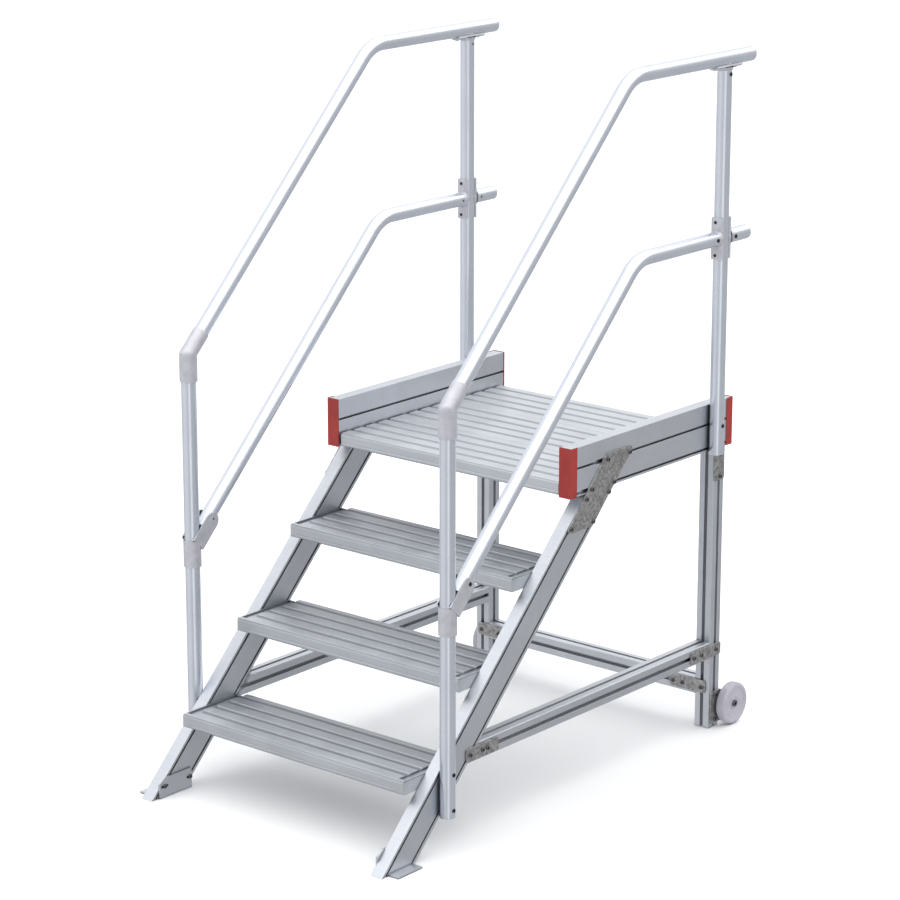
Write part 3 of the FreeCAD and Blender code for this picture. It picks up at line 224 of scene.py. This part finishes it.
def drawn_metal(name, run):
    """Extruded or drawn aluminium: die lines along its run, cloudy bloom, painted shade in the
    slots.
    """
    g = Graph(name)
    die = g.noise(1.0, 3.0, 0.6, g.mapped(RUNS[run], DIE_LINES))
    fine = g.noise(1.0, 2.0, 0.5, g.mapped(RUNS[run], FINE_LINES))
    cloud = g.noise(7.0, 5.0, 0.6)
    scuff = g.spread(g.noise(38.0, 8.0, 0.72), 0.6, 0.74)
    hollow = g.recess(DRAWN_SLOT_REACH)
    rim, rounded = g.edges(DRAWN_RUB_WIDTH)
    tone = g.math("ADD", g.math("MULTIPLY", die, 0.45), g.math("MULTIPLY", cloud, 0.55))
    colour = g.mix(g.spread(tone, 0.32, 0.68), EXTRUDED_DARK, EXTRUDED_LIGHT)
    scuffed = [value * 0.72 for value in EXTRUDED_DARK]
    colour = g.mix(g.math("MULTIPLY", scuff, 0.16), colour, scuffed)
    colour = g.mix(g.math("MULTIPLY", rim, 0.45), colour, DRAWN_RUBBED)
    # Painted shade: slots and joints darkened towards near black by the occlusion mask.
    colour = g.mix(g.math("MULTIPLY", hollow, 0.8), colour, DRAWN_SLOT_SHADE)
    uneven = g.math("ADD", g.math("MULTIPLY", cloud, 0.16), g.math("MULTIPLY", die, 0.1))
    level = g.math("ADD", uneven, EXTRUDED_ROUGH - 0.13)
    level = g.math("ADD", level, g.math("MULTIPLY", hollow, 0.2), clamp=True)
    height = g.math("ADD", g.math("MULTIPLY", die, 0.6), g.math("MULTIPLY", fine, 0.4))
    g.set(Base_Color=colour, Metallic=0.92, Roughness=level)
    g.set(Normal=g.bump(height, DRAWN_LINE_DEPTH, 0.5, rounded))
    return g.material


RAIL_LIGHT, RAIL_DARK = (0.72, 0.75, 0.82), (0.68, 0.71, 0.78)
RAIL_SHADE = (0.16, 0.17, 0.2)
RAIL_SHADE_REACH = 0.014
RAIL_GRAIN_DEPTH = 0.00001


def rail_metal(name):
    """Smooth anodised tube: clean, bluish, with faint drawing marks and handling smears."""
    g = Graph(name)
    smear = g.noise(11.0, 4.0, 0.5)
    grain = g.noise(900.0, 2.0, 0.5)
    hollow = g.recess(RAIL_SHADE_REACH, 0.2, 0.7)
    colour = g.mix(g.spread(smear, 0.3, 0.72), RAIL_LIGHT, RAIL_DARK)
    colour = g.mix(g.math("MULTIPLY", hollow, 0.5), colour, RAIL_SHADE)
    level = g.spread(smear, 0.3, 0.75, 0.22, 0.28)
    g.set(Base_Color=colour, Metallic=0.9, Roughness=level, Coat_Weight=0.15)
    g.set(Coat_Roughness=0.12, Normal=g.bump(grain, RAIL_GRAIN_DEPTH, 0.2))
    return g.material


CAST_LIGHT, CAST_DARK = (0.63, 0.63, 0.67), (0.53, 0.53, 0.57)
CAST_PIT, CAST_RUBBED, CAST_SHADE = (0.38, 0.38, 0.42), (0.9, 0.91, 0.95), (0.07, 0.07, 0.085)
CAST_RUB_WIDTH = 0.0012
CAST_SHADE_REACH = 0.01
PIT_DEPTH = 0.00022


def cast_metal(name):
    """Sand-textured casting: matt skin with pits, brighter where its edges have rubbed, with
    painted shade in its recesses.
    """
    g = Graph(name)
    pits = g.noise(620.0, 6.0, 0.7)
    broad = g.noise(45.0, 5.0, 0.6)
    rim, rounded = g.edges(CAST_RUB_WIDTH)
    hollow = g.recess(CAST_SHADE_REACH)
    colour = g.mix(g.spread(broad, 0.35, 0.68), CAST_LIGHT, CAST_DARK)
    colour = g.mix(g.spread(pits, 0.52, 0.8, 0.0, 0.35), colour, CAST_PIT)
    colour = g.mix(g.math("MULTIPLY", rim, 0.5), colour, CAST_RUBBED)
    # Painted shade: recesses darkened by the occlusion mask.
    colour = g.mix(g.math("MULTIPLY", hollow, 0.75), colour, CAST_SHADE)
    level = g.spread(pits, 0.3, 0.7, 0.42, 0.6)
    g.set(Base_Color=colour, Metallic=0.75, Roughness=level)
    g.set(Normal=g.bump(pits, PIT_DEPTH, 0.55, rounded))
    return g.material


CRYSTAL_SCALE, SPECK_SCALE = 150.0, 520.0
CRYSTAL_BEND = 0.0055
SPANGLE_DEPTH = 0.00012
ZINC_DARK, ZINC_LIGHT = (0.2, 0.195, 0.195), (0.5, 0.49, 0.49)
ZINC_STAIN, ZINC_RUBBED = (0.27, 0.235, 0.21), (0.72, 0.72, 0.73)


def galvanised(name):
    """Hot-dip zinc: feathered crystals of differing brightness, brown-grey staining."""
    g = Graph(name)
    warp = g.noise_node(210.0, 4.0, 0.5)
    bend = g.add("ShaderNodeVectorMath", operation="MULTIPLY_ADD")
    g.link(warp.outputs["Color"], bend.inputs[0])
    bend.inputs[1].default_value = (CRYSTAL_BEND, CRYSTAL_BEND, CRYSTAL_BEND)
    g.link(g.coords, bend.inputs[2])
    patch = g.cell_channels(CRYSTAL_SCALE, bend.outputs[0])
    speck = g.cell_channels(SPECK_SCALE, bend.outputs[0])
    stain = g.noise(30.0, 5.0, 0.65)
    rim, rounded = g.edges(0.001)
    tone = g.math("ADD", g.math("MULTIPLY", patch[0], 0.6),
                  g.math("MULTIPLY", speck[1], 0.4))
    colour = g.mix(g.spread(tone, 0.1, 0.9), ZINC_DARK, ZINC_LIGHT)
    colour = g.mix(g.spread(stain, 0.5, 0.7, 0.0, 0.4), colour, ZINC_STAIN)
    colour = g.mix(g.math("MULTIPLY", rim, 0.55), colour, ZINC_RUBBED)
    level = g.spread(patch[1], 0.0, 1.0, 0.3, 0.55)
    height = g.math("ADD", g.math("MULTIPLY", patch[2], 0.5),
                    g.math("MULTIPLY", stain, 0.5))
    g.set(Base_Color=colour, Metallic=0.82, Roughness=level)
    g.set(Normal=g.bump(height, SPANGLE_DEPTH, 0.35, rounded))
    return g.material


SOCKET_SHADE = (0.006, 0.006, 0.008)
SOCKET_REACH = 0.0035
SCREW_GRAIN_DEPTH = 0.00003


def screw_metal(name, light, dark, rough):
    """Plated screw: turned head with bright shoulder, and painted shade blackening its socket.
    """
    g = Graph(name)
    grain = g.noise(1400.0, 3.0, 0.6)
    hollow = g.recess(SOCKET_REACH, 0.35, 0.85)
    colour = g.mix(g.spread(grain, 0.35, 0.7), dark, light)
    # Painted shade: the socket blackened by the occlusion mask.
    colour = g.mix(hollow, colour, SOCKET_SHADE)
    level = g.spread(grain, 0.3, 0.7, rough - 0.08, rough + 0.1)
    g.set(Base_Color=colour, Metallic=0.85, Roughness=level)
    g.set(Normal=g.bump(grain, SCREW_GRAIN_DEPTH, 0.4))
    return g.material


PLASTIC_RUB_WIDTH = 0.0009
PLASTIC_SHADE_REACH = 0.008
SCRATCH_TURN, SCRATCH_SCALE = (0.5, 0.3, 0.2), (30, 260, 90)


def plastic(name, light, dark, rough, grain_scale, grain_depth, rub):
    """Moulded plastic: fine grain, slight mottling, rubbed edges, and painted shade in its
    recesses.
    """
    g = Graph(name)
    grain = g.noise(grain_scale, 4.0, 0.6)
    mottle = g.noise(24.0, 6.0, 0.6)
    drawn = g.noise(1.0, 5.0, 0.7, g.mapped(SCRATCH_TURN, SCRATCH_SCALE))
    scratch = g.spread(drawn, 0.62, 0.75)
    rim, rounded = g.edges(PLASTIC_RUB_WIDTH)
    hollow = g.recess(PLASTIC_SHADE_REACH, 0.2, 0.75)
    colour = g.mix(g.spread(mottle, 0.35, 0.68), light, dark)
    colour = g.mix(g.math("MULTIPLY", scratch, 0.18), colour, rub)
    colour = g.mix(g.math("MULTIPLY", rim, 0.4), colour, rub)
    # Painted shade: recesses darkened by the occlusion mask.
    colour = g.mix(g.math("MULTIPLY", hollow, 0.6), colour, [value * 0.2 for value in dark])
    level = g.math("ADD", g.spread(mottle, 0.3, 0.7, rough - 0.06, rough + 0.08),
                   g.math("MULTIPLY", scratch, 0.1), clamp=True)
    g.set(Base_Color=colour, Roughness=level, IOR=1.49)
    g.set(Normal=g.bump(grain, grain_depth, 0.5, rounded))
    return g.material


GROOVE_SHALLOW = 0.0006
GROOVE_DEEP = 0.0032
RIBBED_RUB_WIDTH = 0.0009
RIBBED_RUBBED, GROOVE_SHADE = (0.82, 0.84, 0.87), (0.05, 0.06, 0.07)
RIBBED_SHADE = (0.06, 0.07, 0.08)
GRIP_SCALE = 95.0
GRIP_DEPTH = 0.00012


def groove_mask(g):
    """1 in the grip grooves, a little below each walking surface, and 0 elsewhere: the mask
    for painted shade in the grooves.
    """
    split = g.add("ShaderNodeSeparateXYZ")
    g.link(g.coords, split.inputs[0])
    below = g.math("SUBTRACT", WALKING_TOP, split.outputs["Z"])
    below = g.math("FLOORED_MODULO", below, RISE)
    return g.math("MULTIPLY", g.math("GREATER_THAN", below, GROOVE_SHALLOW),
                  g.math("LESS_THAN", below, GROOVE_DEEP))


def ribbed_metal(name, light, dark, shade_reach, shade, groove):
    """Ribbed plank: fine grip lines along its run, grey lands, worn edges, painted shade in
    the grooves and recesses.
    """
    g = Graph(name)
    die = g.noise(1.0, 3.0, 0.6, g.mapped(RUNS["across"], DIE_LINES))
    cloud = g.noise(9.0, 6.0, 0.62)
    wave = g.add("ShaderNodeTexWave", wave_type="BANDS", bands_direction="Y")
    g.link(g.coords, wave.inputs["Vector"])
    wave.inputs["Scale"].default_value = GRIP_SCALE
    wave.inputs["Distortion"].default_value = 0.0
    hollow = g.recess(shade_reach, 0.3, 0.92)
    rim, rounded = g.edges(RIBBED_RUB_WIDTH)
    tone = g.math("ADD", g.math("MULTIPLY", die, 0.4), g.math("MULTIPLY", cloud, 0.6))
    colour = g.mix(g.spread(tone, 0.32, 0.68), dark, light)
    colour = g.mix(g.math("MULTIPLY", rim, 0.35), colour, RIBBED_RUBBED)
    # Painted shade: the grip grooves and then the occluded recesses are darkened.
    colour = g.mix(g.math("MULTIPLY", groove_mask(g), groove), colour, GROOVE_SHADE)
    colour = g.mix(g.math("MULTIPLY", hollow, shade), colour, RIBBED_SHADE)
    level = g.spread(cloud, 0.3, 0.7, 0.4, 0.54)
    height = g.math("ADD", g.math("MULTIPLY", wave.outputs["Fac"], 0.7),
                    g.math("MULTIPLY", die, 0.3))
    g.set(Base_Color=colour, Metallic=0.88, Roughness=level)
    g.set(Normal=g.bump(height, GRIP_DEPTH, 0.5, rounded))
    return g.material


def make_materials():
    made = {"extruded_" + run: drawn_metal("extruded_" + run, run) for run in RUNS}
    # Lit and shaded copies of one finish: the tread copy is painted darker than the deck copy,
    # as painted shade from the deck and treads above, and has stronger painted shade in its
    # grooves and recesses.
    made["ribbed_tread_shaded"] = ribbed_metal("ribbed_tread_shaded", (0.58, 0.60, 0.63),
                                        (0.47, 0.49, 0.52), 0.007, 0.9, 0.5)
    made["ribbed_deck"] = ribbed_metal("ribbed_deck", (0.64, 0.66, 0.69),
                                       (0.54, 0.56, 0.59), 0.006, 0.55, 0.4)
    made["rail_tube"] = rail_metal("rail_tube")
    made["cast_aluminium"] = cast_metal("cast_aluminium")
    made["galvanised_plate"] = galvanised("galvanised_plate")
    made["zinc_steel"] = screw_metal("zinc_steel", (0.2, 0.2, 0.21), (0.12, 0.12, 0.13), 0.34)
    made["dark_screw"] = screw_metal("dark_screw", (0.06, 0.06, 0.065), (0.03, 0.03, 0.035),
                                     0.4)
    made["red_plastic"] = plastic("red_plastic", (0.33, 0.019, 0.014), (0.27, 0.015, 0.011),
                                  0.42, 900.0, 0.00005, (0.45, 0.09, 0.075))
    made["rail_plug"] = plastic("rail_plug", (0.46, 0.45, 0.5), (0.38, 0.37, 0.42),
                                0.45, 800.0, 0.00005, (0.62, 0.62, 0.66))
    made["wheel_plastic"] = plastic("wheel_plastic", (0.46, 0.445, 0.5), (0.37, 0.36, 0.41),
                                    0.46, 520.0, 0.0001, (0.6, 0.59, 0.63))
    return made


RUN_OF = (("beam_", "back"), ("stringer_", "stair"), ("rear_leg_", "up"),
          ("side_brace_", "back"), ("rear_cross_brace", "across"), ("foot_", "back"),
          ("deck_ledges", "back"))


def dress(materials):
    """Give every CAD node the finish of its slot in the record."""
    for name, node in NODES.items():
        finish = SLOT_OF[name]
        if finish == "extruded_aluminium":
            runs = [run for start, run in RUN_OF if name.startswith(start)]
            finish = "extruded_" + runs[0]
        if finish == "ribbed_aluminium":
            # The deck gets the lit copy and the treads get the copy painted in shade.
            finish = "ribbed_deck" if name.startswith("deck_") else "ribbed_tread_shaded"
        node.data.materials.clear()
        node.data.materials.append(materials[finish])


# ---------------------------------------------------------------- wheels
SEGMENTS = 144
CORNER_STEPS = 6
WHEEL_BORE = 0.0052
DISH_SHARE = 0.16
TREAD_CROWN = 0.0007
RIM_SHY = 0.0003


def rounded_path(points, radii):
    """Open path of (radius, depth) points with its inner corners rounded."""
    path = [Vector(points[0])]
    for before, corner, after, radius in zip(points, points[1:], points[2:], radii):
        corner = Vector(corner)
        start, stop = Vector(before) - corner, Vector(after) - corner
        reach = min(radius, start.length * 0.48, stop.length * 0.48)
        first = corner + start.normalized() * reach
        last = corner + stop.normalized() * reach
        for step in range(CORNER_STEPS + 1):
            t = step / CORNER_STEPS
            path.append(first * (1 - t) ** 2 + corner * 2 * t * (1 - t) + last * t ** 2)
    path.append(Vector(points[-1]))
    return path


def wheel_profile(radius, width, bore, dish):
    """Closed section: bore, dished outer face, crowned tread, dished back with a flush hub."""
    crown, shy = TREAD_CROWN, RIM_SHY
    side = [(bore, width - dish * 1.05), (radius * 0.2, width - dish * 1.05),
            (radius * 0.235, width - dish * 1.7), (radius * 0.3, width - dish * 1.75),
            (radius * 0.33, width - dish * 1.25), (radius * 0.62, width - dish * 1.05),
            (radius * 0.77, width - dish * 0.95), (radius * 0.82, width - shy),
            (radius * 0.9, width), (radius - crown, width - dish * 0.55),
            (radius, width * 0.62)]
    radii = [0.001, 0.0016, 0.0012, 0.002, 0.003, 0.004, 0.0025, 0.003, 0.006]
    outer = rounded_path(side, radii)
    back = [(bore, 0.0), (radius * 0.25, 0.0), (radius * 0.29, dish * 1.2),
            (radius * 0.62, dish * 1.05), (radius * 0.77, dish * 0.95), (radius * 0.82, shy),
            (radius * 0.9, 0.0), (radius - crown, dish * 0.55), (radius, width * 0.38)]
    inner = rounded_path(back, [0.001, 0.0015, 0.003, 0.004, 0.0025, 0.003, 0.006])[::-1]
    return outer + inner


def build_wheel(side_name, outward, material):
    """Moulded wheel turned about its axle line, in place of the plain CAD wheel."""
    node = "wheel_" + side_name
    low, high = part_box(node)
    centre = (low + high) / 2
    radius = (high.z - low.z) / 2
    width = high.x - low.x
    start = low.x if outward > 0 else high.x
    section = wheel_profile(radius, width, WHEEL_BORE, width * DISH_SHARE)
    mesh = bmesh.new()
    rings = []
    for step in range(SEGMENTS):
        turn = Matrix.Rotation(2 * math.pi * step / SEGMENTS, 3, "X")
        ring = []
        for point in section:
            spoke = turn @ Vector((0.0, 0.0, point.x))
            place = Vector((start + outward * point.y, centre.y + spoke.y, centre.z + spoke.z))
            ring.append(mesh.verts.new(place))
        rings.append(ring)
    count = len(rings[0])
    for step in range(SEGMENTS):
        first, second = rings[step], rings[(step + 1) % SEGMENTS]
        for index in range(count):
            after = (index + 1) % count
            mesh.faces.new((first[index], second[index], second[after], first[after]))
    bmesh.ops.recalc_face_normals(mesh, faces=mesh.faces)
    data = bpy.data.meshes.new("moulded_" + node)
    mesh.to_mesh(data)
    mesh.free()
    data.shade_smooth()
    data.materials.append(material)
    piece = bpy.data.objects.new("moulded_" + node, data)
    bpy.context.scene.collection.objects.link(piece)
    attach(piece, node)
    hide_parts(node)


# ---------------------------------------------------------------- floor and light
FLOOR_HALF = 60.0
FLOOR_DROP = 0.0004
FLOOR_TONES = ((0.955, 0.955, 0.96), (0.965, 0.965, 0.97))
SKY_COLOUR = (0.97, 0.985, 1.0, 1)
SKY_BASE = 0.5
# For each lobe: its direction, the cosines where it starts and is full, and the light it adds.
LOBES = (((-0.45, -0.75, 0.45), 0.1, 1.0, 0.4), ((0.0, 0.0, 1.0), -0.2, 0.6, 0.22),
         ((-0.7, 0.7, 0.15), 0.5, 1.0, 0.4), ((0.75, -0.6, -0.2), 0.93, 1.0, 0.6))


def add_floor():
    corners = [(-FLOOR_HALF, -FLOOR_HALF), (FLOOR_HALF, -FLOOR_HALF),
               (FLOOR_HALF, FLOOR_HALF), (-FLOOR_HALF, FLOOR_HALF)]
    data = bpy.data.meshes.new("floor")
    data.from_pydata([(x, y, -FLOOR_DROP) for x, y in corners], [], [(0, 1, 2, 3)])
    g = Graph("floor")
    soft = g.noise(0.8, 3.0, 0.5)
    g.set(Base_Color=g.mix(soft, *FLOOR_TONES), Roughness=0.9)
    g.set(Specular_IOR_Level=0.1)
    data.materials.append(g.material)
    floor = bpy.data.objects.new("floor", data)
    bpy.context.scene.collection.objects.link(floor)
    floor.visible_glossy = False


def add_sky():
    """Studio surround of broad soft lobes, added to an even base level."""
    world = bpy.data.worlds.new("studio")
    bpy.context.scene.world = world
    world.use_nodes = True
    tree = world.node_tree
    tree.nodes.clear()
    coords = tree.nodes.new("ShaderNodeTexCoord")
    total = None
    for direction, low, high, amount in LOBES:
        dot = tree.nodes.new("ShaderNodeVectorMath")
        dot.operation = "DOT_PRODUCT"
        dot.inputs[1].default_value = Vector(direction).normalized()
        spread = tree.nodes.new("ShaderNodeMapRange")
        spread.interpolation_type = "SMOOTHSTEP"
        spread.inputs["From Min"].default_value = low
        spread.inputs["From Max"].default_value = high
        spread.inputs["To Max"].default_value = amount
        tree.links.new(coords.outputs["Generated"], dot.inputs[0])
        tree.links.new(dot.outputs["Value"], spread.inputs["Value"])
        add = tree.nodes.new("ShaderNodeMath")
        add.operation = "ADD"
        add.inputs[0].default_value = SKY_BASE
        if total is not None:
            tree.links.new(total, add.inputs[0])
        tree.links.new(spread.outputs["Result"], add.inputs[1])
        total = add.outputs[0]
    shader = tree.nodes.new("ShaderNodeBackground")
    shader.inputs["Color"].default_value = SKY_COLOUR
    output = tree.nodes.new("ShaderNodeOutputWorld")
    tree.links.new(total, shader.inputs["Strength"])
    tree.links.new(shader.outputs[0], output.inputs[0])


SUN_POWER = 1.9
SUN_SPREAD = math.radians(100)
SUN_TURN = (math.radians(-10), math.radians(16), 0)
KEY_PLACE, KEY_TARGET = (-2.2, -4.2, 4.2), (0.0, 0.0, 0.8)
KEY_SIZE = 2.6
KEY_POWER = 28


def add_overhead():
    sun = bpy.data.lights.new("overhead", "SUN")
    sun.energy = SUN_POWER
    sun.angle = SUN_SPREAD
    lamp = bpy.data.objects.new("overhead", sun)
    lamp.rotation_euler = SUN_TURN
    bpy.context.scene.collection.objects.link(lamp)


def add_key():
    data = bpy.data.lights.new("key", "AREA")
    data.shape = "RECTANGLE"
    data.size, data.size_y = KEY_SIZE, KEY_SIZE
    data.energy = KEY_POWER
    lamp = bpy.data.objects.new("key", data)
    lamp.location = KEY_PLACE
    aim = Vector(KEY_TARGET) - Vector(KEY_PLACE)
    lamp.rotation_euler = aim.to_track_quat("-Z", "Y").to_euler()
    lamp.visible_camera = False
    bpy.context.scene.collection.objects.link(lamp)


add_camera()
MATERIALS = make_materials()
dress(MATERIALS)
build_wheel("left", -1, MATERIALS["wheel_plastic"])
build_wheel("right", 1, MATERIALS["wheel_plastic"])
add_floor()
add_sky()
add_overhead()
add_key()
bpy.context.scene.view_settings.view_transform = "Standard"
